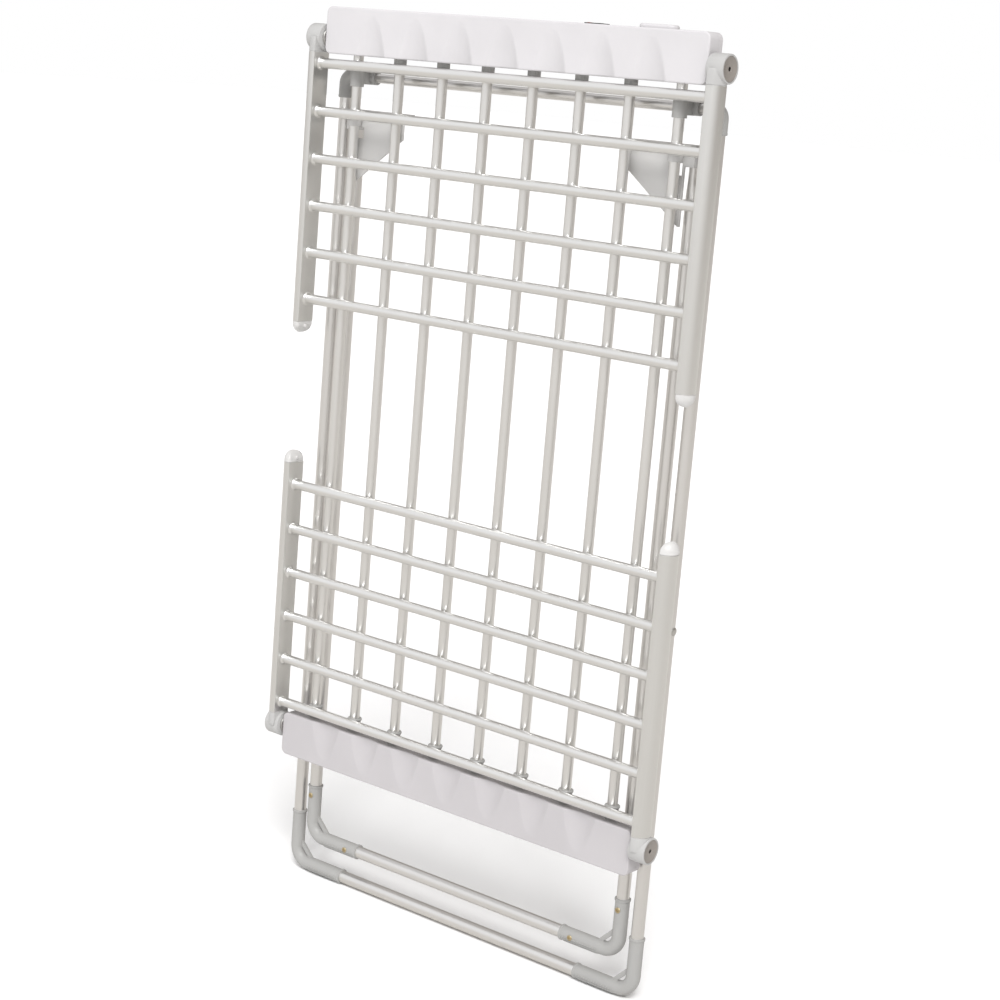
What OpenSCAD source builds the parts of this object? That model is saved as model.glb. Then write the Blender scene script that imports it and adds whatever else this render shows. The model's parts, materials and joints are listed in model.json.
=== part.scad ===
// Folding electric clothes airer: a heated centre panel of upright bars between two plastic
// housings, two wings of cross bars folded over its front, and an X leg frame folded behind it.
// Millimetres. X runs across the airer, +Z up the folded airer, and the wings face -Y. The
// origin is the middle of the top cross rod.

/* [Overall] */
// Width over the wing pivot caps
overall_w = 540; // [450:5:650]
// Distance between the two wing pivot axes, up the panel
pivot_span = 790; // [660:5:950]

/* [Housings] */
// Height of each housing, up the panel
housing_h = 50.5; // [44:0.5:62]
// Depth of each housing, front to back
housing_d = 24; // [22:0.5:32]
// Wall of the moulded shells
housing_wall = 2.2; // [1.8:0.1:2.8]
// Radius of the housing corners
housing_corner_r = 7; // [3:0.5:10]
// Front face of the housing, forward of the bar axes
housing_front = 15.7; // [14:0.1:18]
// From the housing's end face out to the pivot cap's outer face
end_stack = 22; // [20:0.5:28]
// Depth of the finger scallops at the housing's inner edge
scallop_depth = 6; // [3:0.5:8]
// Width of the scallops at the housing's inner edge
scallop_w = 42; // [30:1:48]
// Height that the scallops reach up the housing
scallop_h = 44; // [30:1:46]

/* [Centre bars] */
// From the outermost centre bar out to the inner leg's tube
bar_to_leg = 11; // [9.5:0.1:13]
// Outside diameter of every heated bar
bar_d = 11; // [9:0.1:13.5]
// Wall of the bars
bar_wall = 1; // [0.8:0.1:1.5]
// Length of bar held inside a housing
bar_grip = 18; // [12:1:24]
// Length of the plastic collars outside the housing
collar_len = 15; // [10:1:20]
// Outside diameter of the plastic collars
collar_d = 15; // [14.5:0.5:18]

/* [Wings] */
// Spacing of the six wing bars
wing_pitch = 52; // [46:0.5:56]
// From the pivot axis to the first wing bar
first_bar = 28; // [27:0.5:34]
// From the pivot axis back to the housing's front face
pivot_back = 6.7; // [6:0.1:9]
// From the pivot axis up to the housing's outer edge
pivot_inset = 33.5; // [28:0.5:36]
// Gap between the wing bars and the sleeves that run on the centre bars
wing_gap = 0.4; // [0.3:0.1:2]
// Front-to-back depth of the D-shaped rails
rail_depth = 24.5; // [20:0.5:28]
// Sideways thickness of the D-shaped rails
rail_t = 14.8; // [13:0.1:17]
// Wall of the rails
rail_wall = 1.6; // [1.2:0.1:2.2]
// Diameter of the round hinge bosses
boss_d = 29; // [26:0.2:35]
// From the last wing bar to the end of the rail
rail_tail = 26; // [18:1:40]
// Height of the domed rail end caps
cap_h = 13; // [10:0.5:14]
// Diameter of the wing pivot bolts
pivot_d = 6; // [5:0.5:7]

/* [Legs] */
// Foot bar of the outer leg below the lower wing pivot
foot_below = 174.5; // [150:0.5:240]
// Crossing rivets above the outer leg's foot bar
cross_up = 400; // [360:5:420]
// Rest position of the sliding bracket's pin below the cross rod
bracket_drop = 49; // [46:1:60]
// Distance between cross rod and bracket pin with the legs opened
open_span = 540; // [440:5:560]
// Top cross rod below the upper wing pivot axis
rod_drop = 39.5; // [38:0.5:50]
// Wall of the plastic sleeves on the outermost centre bars
sleeve_wall = 2.1; // [1.8:0.1:3]
// Leg plane behind the centre bar axes
leg_back = 21; // [20:0.5:26]
// Outside diameter of the leg tubes
leg_d = 14; // [11.5:0.1:17]
// Wall of the leg tubes
leg_wall = 1.2; // [1:0.1:1.6]
// Diameter of the top cross rod
rod_d = 10; // [8:0.5:11]
// Gap between the outer leg tube and the inner leg tube
leg_gap = 8.6; // [7:0.1:10]
// Outer leg tube inside the rail's inner face
leg_inset = 1.7; // [1:0.1:5]
// Plastic wall of the elbows over the tubes
elbow_wall = 1.75; // [1.2:0.05:2.5]
// Upright arm of a foot elbow, from the foot bar's axis
elbow_up = 63; // [45:1:75]
// Level arm of a foot elbow, from the leg tube's axis
elbow_in = 74; // [50:1:90]
// Bend radius of the elbow's axis
elbow_bend = 19; // [16:1:28]

/* [Fits] */
// Radial clearance of a turning or sliding fit
run_fit = 0.06; // [0.02:0.01:0.1]
// Radial clearance of a fixed, pushed-in fit
push_fit = 0.05; // [0.02:0.01:0.1]
// Side clearance between parts that turn past each other
side_gap = 0.6; // [0.4:0.1:1]

/* [Switch and cord outlet] */
// Switch, in from the housing's end face
switch_in = 142; // [132:1:148]
// Cord outlet, in from the housing's end face
outlet_in = 53; // [48:1:58]
// Bore of the cord outlet
outlet_bore_d = 7.2; // [6:0.1:8]
// Rocker tilt at rest, either way from level
rocker_tilt = 7; // [5:0.5:9]

/* [Hidden] */
$fn = 64;
centre_bars = 8;
wing_bars = 6;

// Heights, from the lowest point of the foot elbows
elbow_r = leg_d / 2 + elbow_wall;
leg_len = pivot_span - rod_drop + foot_below;
leg_cross = leg_len - cross_up;
foot_z = elbow_r;
rod_z = foot_z + leg_len;
cross_z = rod_z - leg_cross;
pin_z = rod_z - bracket_drop;
inner_cross = leg_cross - bracket_drop;
inner_len = leg_len * inner_cross / leg_cross;
inner_foot_z = pin_z - inner_len;
pivot_z = rod_z + rod_drop;
mid_z = pivot_z - pivot_span / 2;
housing_top = pivot_z + pivot_inset;
housing_low = housing_top - housing_h;
collar_low = housing_low - collar_len;

// Across
housing_half = overall_w / 2 - end_stack;
rail_x = overall_w / 2 - 1.5 - rail_t;
outer_x = rail_x - leg_inset - leg_d / 2;
inner_x = outer_x - leg_d - leg_gap;
last_bar_x = inner_x - bar_to_leg;
centre_pitch = 2 * last_bar_x / (centre_bars - 1);
switch_x = housing_half - switch_in;
outlet_x = housing_half - outlet_in;

// Front to back, from the centre bar axes
bar_r = bar_d / 2;
rod_r = rod_d / 2;
leg_r = leg_d / 2;
front_y = -housing_front;
back_y = housing_d - housing_front;
pivot_y = front_y + pivot_back;
sleeve_r = bar_r + sleeve_wall;
wing_y = -sleeve_r - wing_gap - bar_r;

// Wing lengths, measured down from the upper pivot
rail_start = boss_d / 2 + 1.5;
rail_end = first_bar + (wing_bars - 1) * wing_pitch + rail_tail;
fitting_tongue = first_bar - bar_r - rail_start - 1;

// Hinge stack, out from the housing's end face
washer_t = 2;
boss_in = housing_half + washer_t + 0.3;
boss_out = overall_w / 2;
disc_t = 1.2;
disc_r = boss_d / 2 - 2;
bolt_head_r = 5.5;
bolt_head_t = 3;
head_x = boss_out - disc_t - 1.6 - bolt_head_t;
pivot_r = pivot_d / 2;
bolt_in = housing_half - 20;

// Slide bracket
ear_t = 2;
tab_t = 8;
tab_r = leg_r;
flange_z = tab_r + 4.5;
flange_t = 2;
plate_y = bar_r + 2.2;
plate_t = 2.6;
pin_r = 2.5;
gusset_drop = 67;
gusset_in = 64;

// Screws, switch and outlet
post_end_in = 26;
post_left_in = 128;
post_right_in = 108;
post_xs = [post_end_in - housing_half, post_left_in - housing_half, 0,
    housing_half - post_right_in, housing_half - post_end_in];
post_z = housing_top - 9;
terminal_x = -66;
cutout_x = 35;
screw_r = 1.6;
screw_head_r = 3.2;
switch_l = 21;
switch_w = 14;
rocker_l = 18.4;
rocker_w = 10.6;
boss_l = 44;
boss_w = 15;
outlet_h = 4;
case_mid_y = (front_y + back_y) / 2;

// ---------- placement helpers ----------

// Moves the origin to the middle of the top cross rod, which a wall hook holds
module placed() {
    translate([0, -leg_back, -rod_z]) children();
}

// The bottom housing and the lower wing are mirror images about the panel's middle
module flipped() {
    translate([0, 0, 2 * mid_z]) mirror([0, 0, 1]) children();
}

module both_sides() {
    children();
    mirror([1, 0, 0]) children();
}

// A tube or rod along Z between two heights
module upright(x, y, low, high, r_out, r_in = 0) {
    translate([x, y, low]) difference() {
        cylinder(r = r_out, h = high - low);
        if (r_in > 0) translate([0, 0, -1]) cylinder(r = r_in, h = high - low + 2);
    }
}

// A tube or rod along X between two places
module across(x_low, x_high, y, z, r_out, r_in = 0) {
    translate([x_low, y, z]) rotate([0, 90, 0]) difference() {
        cylinder(r = r_out, h = x_high - x_low);
        if (r_in > 0) translate([0, 0, -1]) cylinder(r = r_in, h = x_high - x_low + 2);
    }
}

// ---------- housings ----------

module rounded_plate(x_half, low, high, r, y_low, y_high) {
    translate([0, y_high, 0]) rotate([90, 0, 0]) linear_extrude(y_high - y_low) union() {
        translate([-x_half + r, low]) square([2 * (x_half - r), high - low]);
        translate([-x_half, low + r]) square([2 * x_half, high - low - 2 * r]);
        for (sx = [-1, 1], z = [low + r, high - r]) translate([sx * (x_half - r), z]) circle(r = r);
    }
}

// One scallop is the bite of a tilted round bar that leaves the face at scallop_h
module scallop_cutters(grow) {
    r = (scallop_w * scallop_w / 4 + scallop_depth * scallop_depth) / (2 * scallop_depth);
    tilt = atan(scallop_depth / scallop_h);
    for (i = [1 : centre_bars - 1])
        translate([-last_bar_x + (i - 0.5) * centre_pitch, front_y - r + scallop_depth, housing_low])
            rotate([tilt, 0, 0]) translate([0, 0, -12]) cylinder(r = r + grow, h = housing_h + 24);
}

module bar_notches(clear) {
    for (i = [0 : centre_bars - 1])
        upright(-last_bar_x + i * centre_pitch, 0, housing_low - 1, housing_low + bar_grip + 1,
                bar_r + clear);
}

// Solid blocks at both ends that hold the wing pivot bolts
module bolt_blocks() {
    both_sides() translate([housing_half - 22, front_y + 0.5, pivot_z - 8])
        cube([21, -front_y - 1, 16]);
}

module top_aperture() {
    translate([switch_x - switch_l / 2 + 1, case_mid_y - switch_w / 2 + 1, housing_top - 5])
        cube([switch_l - 2, switch_w - 2, 10]);
    upright(outlet_x, case_mid_y, housing_top - 5, housing_top + 5, outlet_bore_d / 2 + 2.2);
}

module front_cover(top) {
    color([0.88, 0.87, 0.87]) difference() {
        rounded_plate(housing_half, housing_low, housing_top, housing_corner_r, front_y, 0);
        difference() {
            rounded_plate(housing_half - housing_wall, housing_low + housing_wall,
                          housing_top - housing_wall, housing_corner_r - housing_wall,
                          front_y + housing_wall, 1);
            scallop_cutters(housing_wall);
            bolt_blocks();
            for (x = post_xs)
                translate([x, 1, post_z]) rotate([90, 0, 0]) cylinder(r = 4, h = 20);
        }
        scallop_cutters(0);
        bar_notches(push_fit);
        both_sides() across(bolt_in - 1, housing_half + 1, pivot_y, pivot_z, pivot_r + push_fit);
        for (x = post_xs)
            translate([x, 1, post_z]) rotate([90, 0, 0]) cylinder(r = screw_r + push_fit, h = 11.5);
        if (top) top_aperture();
    }
}

module rear_cover(top) {
    color([0.84, 0.83, 0.83]) difference() {
        rounded_plate(housing_half, housing_low, housing_top, housing_corner_r, 0, back_y);
        difference() {
            rounded_plate(housing_half - housing_wall, housing_low + housing_wall,
                          housing_top - housing_wall, housing_corner_r - housing_wall,
                          -1, back_y - housing_wall);
            for (x = post_xs)
                translate([x, back_y, post_z]) rotate([90, 0, 0]) cylinder(r = 5.4, h = back_y);
        }
        bar_notches(push_fit);
        for (x = post_xs) {
            translate([x, back_y + 1, post_z]) rotate([90, 0, 0])
                cylinder(r = screw_r + push_fit, h = back_y + 2);
            translate([x, back_y + 1, post_z]) rotate([90, 0, 0])
                cylinder(r = screw_head_r + 0.6, h = 4);
        }
        if (top) top_aperture();
    }
}

module cover_screw_set() {
    for (x = post_xs) translate([x, back_y - 1, post_z]) rotate([90, 0, 0]) {
        cylinder(r = screw_head_r, h = 2);
        cylinder(r = screw_r, h = back_y + 8.5);
    }
}

module cover_screws() {
    color([0.72, 0.7, 0.66]) {
        cover_screw_set();
        flipped() cover_screw_set();
    }
}

module bolt_set() {
    both_sides() {
        across(bolt_in, head_x, pivot_y, pivot_z, pivot_r);
        across(head_x, head_x + bolt_head_t, pivot_y, pivot_z, bolt_head_r);
        across(housing_half + 0.1, housing_half + 0.1 + washer_t, pivot_y, pivot_z, 9,
               pivot_r + push_fit);
    }
}

module wing_pivot_bolts() {
    color([0.7, 0.7, 0.7]) {
        bolt_set();
        flipped() bolt_set();
    }
}

module terminal_block() {
    color([0.92, 0.9, 0.84]) difference() {
        translate([terminal_x, -5, housing_top - 22]) cube([46, 9, 14]);
        for (i = [0 : 3])
            upright(terminal_x + 6 + i * 11, -0.5, housing_top - 14, housing_top - 7, 2.2);
    }
}

module thermal_cutout() {
    color([0.45, 0.42, 0.4]) {
        upright(cutout_x, -0.5, housing_top - 20, housing_top - 10, 5);
        upright(cutout_x, -0.5, housing_top - 22, housing_top - 20, 2.5);
    }
}

module switch_body() {
    y = case_mid_y;
    color([0.2, 0.2, 0.2]) difference() {
        union() {
            translate([switch_x - switch_l / 2, y - switch_w / 2, housing_top])
                cube([switch_l, switch_w, 1]);
            translate([switch_x - switch_l / 2 + 1.2, y - switch_w / 2 + 1.2, housing_top - 15])
                cube([switch_l - 2.4, switch_w - 2.4, 15.5]);
        }
        translate([switch_x - rocker_l / 2 - 0.2, y - rocker_w / 2 - 0.2, housing_top - 8])
            cube([rocker_l + 0.4, rocker_w + 0.4, 12]);
    }
}

module switch_rocker() {
    translate([switch_x, case_mid_y, housing_top - 3]) rotate([0, rocker_tilt, 0])
        color([0.8, 0.12, 0.08]) difference() {
            translate([-rocker_l / 2 + 0.5, -rocker_w / 2, -2.4])
                cube([rocker_l - 1, rocker_w, 5.6]);
            translate([0, 0, 22.6]) rotate([90, 0, 0])
                cylinder(r = 20, h = rocker_w + 2, center = true);
        }
}

module cord_outlet() {
    r = outlet_bore_d / 2;
    x_end = outlet_x + 8;
    color([0.86, 0.85, 0.84]) difference() {
        union() {
            translate([x_end - boss_l + boss_w / 2, case_mid_y - boss_w / 2, housing_top])
                cube([boss_l - boss_w, boss_w, outlet_h]);
            upright(x_end - boss_w / 2, case_mid_y, housing_top, housing_top + outlet_h,
                    boss_w / 2);
            upright(x_end - boss_l + boss_w / 2, case_mid_y, housing_top,
                    housing_top + outlet_h, boss_w / 2);
            upright(outlet_x, case_mid_y, housing_top - 12, housing_top + 1, r + 2);
        }
        upright(outlet_x, case_mid_y, housing_top - 14, housing_top + 8, r);
    }
}

// ---------- centre bars ----------

module centre_bar(i) {
    color([0.8, 0.79, 0.78])
        upright(-last_bar_x + (i - 1) * centre_pitch, 0,
                2 * mid_z - housing_low - bar_grip, housing_low + bar_grip, bar_r,
                bar_r - bar_wall);
}

module collar(x) {
    translate([x, 0, collar_low]) difference() {
        union() {
            cylinder(r = collar_d / 2, h = collar_len);
            cylinder(r = collar_d / 2 + 0.7, h = 2.4);
        }
        translate([0, 0, -1]) cylinder(r = bar_r + push_fit, h = collar_len + 2);
    }
}

module top_bar_collars() {
    color([0.83, 0.82, 0.8])
        for (i = [1 : centre_bars - 2]) collar(-last_bar_x + i * centre_pitch);
}

module bottom_bar_collars() {
    color([0.83, 0.82, 0.8]) flipped()
        for (i = [0 : centre_bars - 1]) collar(-last_bar_x + i * centre_pitch);
}

// Tee fitting: an upright sleeve on the outermost bar and a level sleeve behind for the rod
module leg_bearings() {
    color([0.83, 0.82, 0.8]) both_sides() difference() {
        union() {
            upright(last_bar_x, 0, rod_z - 10.5, rod_z + 9, sleeve_r);
            translate([last_bar_x - 5, 0, rod_z - 7.5]) cube([10, leg_back, 15]);
            across(last_bar_x - 11, last_bar_x + 11, leg_back, rod_z, rod_r + 2.5);
        }
        upright(last_bar_x, 0, rod_z - 20, rod_z + 20, bar_r + push_fit);
        across(last_bar_x - 15, last_bar_x + 15, leg_back, rod_z, rod_r + run_fit);
    }
}

module centre_heater_wires() {
    color([0.55, 0.5, 0.45])
        for (i = [0 : centre_bars - 1])
            upright(-last_bar_x + i * centre_pitch, 0, 2 * mid_z - housing_low - bar_grip + 4,
                    housing_low + bar_grip - 1, 1.5);
}

// ---------- wings, drawn as the upper wing ----------

// D profile with its flat face on x = 0 and its round side outwards
module d_profile(inset) {
    r = rail_depth / 2 - inset;
    flat = rail_t - rail_depth / 2;
    translate([inset, -r]) square([flat - inset, 2 * r]);
    translate([flat, 0]) difference() {
        circle(r = r);
        translate([-rail_depth, -rail_depth]) square([rail_depth, 2 * rail_depth]);
    }
}

module rail(side) {
    color([0.8, 0.79, 0.78]) mirror([side < 0 ? 1 : 0, 0, 0]) difference() {
        translate([rail_x, wing_y, pivot_z - rail_end]) linear_extrude(rail_end - rail_start)
            difference() {
                d_profile(0);
                d_profile(rail_wall);
            }
        for (k = [0 : wing_bars - 1])
            across(rail_x - 1, rail_x + rail_wall + 1, wing_y,
                   pivot_z - first_bar - k * wing_pitch, bar_r + push_fit);
    }
}

module wing_bar(k) {
    reach = rail_x + rail_wall + 3;
    color([0.82, 0.81, 0.8])
        across(-reach, reach, wing_y, pivot_z - first_bar - (k - 1) * wing_pitch, bar_r,
               bar_r - bar_wall);
}

module hinge_fittings() {
    color([0.88, 0.87, 0.85]) both_sides() difference() {
        union() {
            across(boss_in, boss_out, pivot_y, pivot_z, boss_d / 2);
            translate([rail_x, wing_y, pivot_z - rail_start]) linear_extrude(rail_start)
                d_profile(0);
            translate([rail_x, wing_y, pivot_z - rail_start - fitting_tongue])
                linear_extrude(fitting_tongue + 1) d_profile(rail_wall + push_fit);
        }
        across(boss_in - 1, boss_out + 1, pivot_y, pivot_z, pivot_r + run_fit);
        across(head_x - 0.2, boss_out + 1, pivot_y, pivot_z, bolt_head_r + 1.2);
        across(boss_out - disc_t - 0.4, boss_out + 1, pivot_y, pivot_z, disc_r + push_fit);
    }
}

module pivot_discs() {
    color([0.55, 0.52, 0.49])
        both_sides() across(boss_out - disc_t - 0.4, boss_out - 0.4, pivot_y, pivot_z, disc_r, 2);
}

// Side outline of the domed cap, from r_low to its full radius
module cap_outline(r_low) {
    dome_r = rail_depth / 2 + 2;
    intersection() {
        translate([r_low, -cap_h]) square([rail_depth / 2 - r_low, cap_h]);
        translate([0, dome_r - cap_h]) circle(r = dome_r);
    }
}

// Turned for its round side, and pushed out to the rail's inner face for its flat side
module end_caps() {
    flat = rail_t - rail_depth / 2;
    color([0.94, 0.93, 0.91]) both_sides() translate([rail_x, wing_y, pivot_z - rail_end]) {
        translate([flat, 0, 0]) rotate([0, 0, -90]) rotate_extrude(angle = 180) cap_outline(0);
        rotate([90, 0, 90]) linear_extrude(flat) cap_outline(-rail_depth / 2);
        translate([0, 0, -1]) linear_extrude(10) d_profile(rail_wall + push_fit);
        translate([-1.2, 0, -5]) rotate([0, 90, 0]) cylinder(r = 2.2, h = 2);
    }
}

module heater_wires() {
    color([0.55, 0.5, 0.45])
        for (k = [0 : wing_bars - 1])
            across(-rail_x + 2, rail_x - 2, wing_y, pivot_z - first_bar - k * wing_pitch, 1.5);
}

// ---------- legs ----------

// A foot elbow on the right: upright arm, swept corner, level arm and a web in the corner
module foot_elbow(x, z) {
    translate([x, leg_back, z]) difference() {
        union() {
            upright(0, 0, elbow_bend, elbow_up, elbow_r);
            across(-elbow_in, -elbow_bend, 0, 0, elbow_r);
            translate([-elbow_bend, 0, elbow_bend]) rotate([90, 0, 0])
                rotate_extrude(angle = -90) translate([elbow_bend, 0]) circle(r = elbow_r);
            translate([0, 1.5, 0]) rotate([90, 0, 0]) linear_extrude(3) polygon([
                [-elbow_r + 1, elbow_bend], [-elbow_r + 1, elbow_bend + 20],
                [-elbow_bend - 20, elbow_r - 1], [-elbow_bend, elbow_r - 1]]);
            for (a = [-50, -25, 0, 25, 50])
                translate([-elbow_in + 4, elbow_r * sin(a), -elbow_r * cos(a)])
                    rotate([a, 0, 0]) translate([0, -0.7, -0.4]) cube([elbow_in - elbow_bend - 8, 1.4, 1]);
        }
        upright(0, 0, elbow_bend + 6, elbow_up + 1, leg_r + push_fit);
        across(-elbow_in - 1, -elbow_bend - 6, 0, 0, leg_r + push_fit);
    }
}

module outer_leg_tubes() {
    color([0.78, 0.77, 0.76]) both_sides() difference() {
        upright(outer_x, leg_back, foot_z + elbow_bend + 7, rod_z - 8, leg_r, leg_r - leg_wall);
        across(outer_x - 20, outer_x + 20, leg_back, cross_z, pin_r + push_fit);
    }
}

module outer_leg_rod() {
    color([0.78, 0.77, 0.76])
        across(-outer_x + 4, outer_x - 4, leg_back, rod_z, rod_r, rod_r - 1.2);
}

module outer_leg_top_elbows() {
    color([0.8, 0.79, 0.77]) both_sides() difference() {
        union() {
            upright(outer_x, leg_back, rod_z - 24, rod_z, elbow_r);
            translate([outer_x, leg_back, rod_z]) sphere(r = elbow_r);
            across(outer_x - 15, outer_x, leg_back, rod_z, elbow_r);
        }
        upright(outer_x, leg_back, rod_z - 25, rod_z - 7.5, leg_r + push_fit);
        across(outer_x - 16, outer_x - 3.5, leg_back, rod_z, rod_r + push_fit);
    }
}

module outer_foot_bar() {
    color([0.78, 0.77, 0.76])
        across(-outer_x + elbow_bend + 7, outer_x - elbow_bend - 7, leg_back, foot_z, leg_r,
               leg_r - leg_wall);
}

module outer_foot_elbows() {
    color([0.78, 0.77, 0.76]) both_sides() foot_elbow(outer_x, foot_z);
}

// Outer half of each crossing rivet; the inner half stops short of it
module outer_leg_rivets() {
    color([0.7, 0.7, 0.7]) both_sides() {
        across(outer_x - leg_r - leg_gap / 2 + side_gap, outer_x + leg_r, leg_back, cross_z,
               pin_r);
        across(outer_x - leg_r - leg_gap / 2 + side_gap, outer_x - leg_r - 0.1, leg_back,
               cross_z, 5);
        across(outer_x + leg_r, outer_x + leg_r + 1.2, leg_back, cross_z, 4.5);
    }
}

module inner_leg_rivets() {
    color([0.7, 0.7, 0.7]) both_sides() {
        across(inner_x - leg_r, inner_x + leg_r + leg_gap / 2 - side_gap, leg_back, cross_z,
               pin_r);
        across(inner_x + leg_r + 0.1, inner_x + leg_r + leg_gap / 2 - side_gap, leg_back,
               cross_z, 5);
        across(inner_x - leg_r - 1.2, inner_x - leg_r, leg_back, cross_z, 4.5);
    }
}

// The inner leg's tubes end in a flattened tab round the bracket pin
module inner_leg_tubes() {
    color([0.78, 0.77, 0.76]) both_sides() difference() {
        union() {
            upright(inner_x, leg_back, inner_foot_z + elbow_bend + 7, pin_z - 24, leg_r,
                    leg_r - leg_wall);
            translate([inner_x, leg_back, pin_z - 26]) cylinder(r = leg_r, h = 5);
            translate([inner_x - tab_t / 2, leg_back - tab_r, pin_z - 25])
                cube([tab_t, 2 * tab_r, 25]);
            across(inner_x - tab_t / 2, inner_x + tab_t / 2, leg_back, pin_z, tab_r);
        }
        across(inner_x - 20, inner_x + 20, leg_back, pin_z, pin_r + run_fit);
        across(inner_x - 20, inner_x + 20, leg_back, cross_z, pin_r + push_fit);
    }
}

module inner_foot_bar() {
    color([0.78, 0.77, 0.76])
        across(-inner_x + elbow_bend + 7, inner_x - elbow_bend - 7, leg_back, inner_foot_z,
               leg_r, leg_r - leg_wall);
}

module elbow_screw_places() {
    both_sides() {
        translate([inner_x, leg_back - elbow_r - 0.4, inner_foot_z + elbow_up - 12])
            rotate([-90, 0, 0]) children();
        translate([inner_x - elbow_in + 16, leg_back - elbow_r - 0.4, inner_foot_z])
            rotate([-90, 0, 0]) children();
    }
}

module inner_foot_elbows() {
    color([0.8, 0.79, 0.77]) difference() {
        both_sides() foot_elbow(inner_x, inner_foot_z);
        elbow_screw_places() {
            translate([0, 0, -1]) cylinder(r = 3 + push_fit, h = 2.6);
            cylinder(r = 1.4 + push_fit, h = elbow_wall + 1.4);
        }
    }
}

module elbow_screws() {
    color([0.72, 0.62, 0.4]) elbow_screw_places() {
        cylinder(r = 3, h = 1.5);
        cylinder(r = 1.4, h = 2);
    }
}

// ---------- sliding brackets ----------

module slide_brackets() {
    reach = inner_x - last_bar_x;
    color([0.85, 0.84, 0.82]) both_sides() translate([last_bar_x, 0, pin_z]) difference() {
        union() {
            upright(0, 0, -4, flange_z + flange_t, sleeve_r);
            translate([-3, sleeve_r - 3, -4]) cube([6, plate_y - sleeve_r + 4, flange_z + 4]);
            translate([0, plate_y + plate_t, 0]) rotate([90, 0, 0]) linear_extrude(plate_t)
                polygon([[-gusset_in, flange_z], [-gusset_in, -14],
                         [reach - tab_t / 2 - side_gap - ear_t, -gusset_drop],
                         [reach - tab_t / 2 - side_gap, -gusset_drop],
                         [reach - tab_t / 2 - side_gap, flange_z]]);
            translate([-gusset_in, plate_y, flange_z])
                cube([gusset_in + reach + tab_t / 2 + side_gap + ear_t,
                      leg_back + 5 - plate_y, flange_t]);
            for (s = [-1, 1]) bracket_ear(reach, s);
            translate([reach - tab_t / 2 - side_gap, plate_y, -8])
                cube([tab_t + 2 * side_gap, plate_t, flange_z + 8]);
        }
        upright(0, 0, -80, 40, bar_r + run_fit);
        translate([-sleeve_r, plate_y - 1, -17]) cube([2 * sleeve_r, plate_t + 2, 12]);
        across(reach - 20, reach + 20, leg_back, 0, pin_r + push_fit);
    }
}

module bracket_ear(reach, s) {
    x_low = s < 0 ? reach - tab_t / 2 - side_gap - ear_t : reach + tab_t / 2 + side_gap;
    across(x_low, x_low + ear_t, leg_back, 0, 8.5);
    translate([x_low, plate_y, -8]) cube([ear_t, leg_back - plate_y, flange_z + 8]);
    translate([x_low, leg_back - 6, 0]) cube([ear_t, 12, flange_z]);
}

module bracket_pins() {
    half = tab_t / 2 + side_gap + ear_t;
    color([0.7, 0.7, 0.7]) both_sides() {
        across(inner_x - half, inner_x + half, leg_back, pin_z, pin_r);
        across(inner_x + half, inner_x + half + 1.2, leg_back, pin_z, 4);
    }
}

// ---------- drawing ----------

placed() front_cover(true);  // top_front_cover
placed() rear_cover(true);  // top_rear_cover
placed() flipped() front_cover(false);  // bottom_front_cover
placed() flipped() rear_cover(false);  // bottom_rear_cover
for (i = [1 : centre_bars])
    placed() centre_bar(i);
placed() top_bar_collars();
placed() bottom_bar_collars();
placed() leg_bearings();
placed() centre_heater_wires();
placed() terminal_block();
placed() thermal_cutout();
placed() cover_screws();
placed() wing_pivot_bolts();
placed() switch_body();
placed() switch_rocker();
placed() cord_outlet();
placed() rail(-1);  // upper_rail_left
placed() rail(1);  // upper_rail_right
for (k = [1 : wing_bars])
    placed() wing_bar(k);
placed() hinge_fittings();  // upper_hinge_fittings
placed() pivot_discs();  // upper_pivot_discs
placed() end_caps();  // upper_end_caps
placed() heater_wires();  // upper_heater_wires
placed() flipped() rail(-1);  // lower_rail_left
placed() flipped() rail(1);  // lower_rail_right
for (k = [1 : wing_bars])
    placed() flipped() wing_bar(k);
placed() flipped() hinge_fittings();  // lower_hinge_fittings
placed() flipped() pivot_discs();  // lower_pivot_discs
placed() flipped() end_caps();  // lower_end_caps
placed() flipped() heater_wires();  // lower_heater_wires
placed() outer_leg_tubes();
placed() outer_leg_rod();
placed() outer_leg_top_elbows();
placed() outer_foot_bar();
placed() outer_foot_elbows();
placed() outer_leg_rivets();
placed() slide_brackets();
placed() bracket_pins();
placed() inner_leg_tubes();
placed() inner_foot_bar();
placed() inner_foot_elbows();
placed() inner_leg_rivets();
placed() elbow_screws();
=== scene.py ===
import bmesh
import bpy
import json
import math
from mathutils import Matrix, Vector


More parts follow.
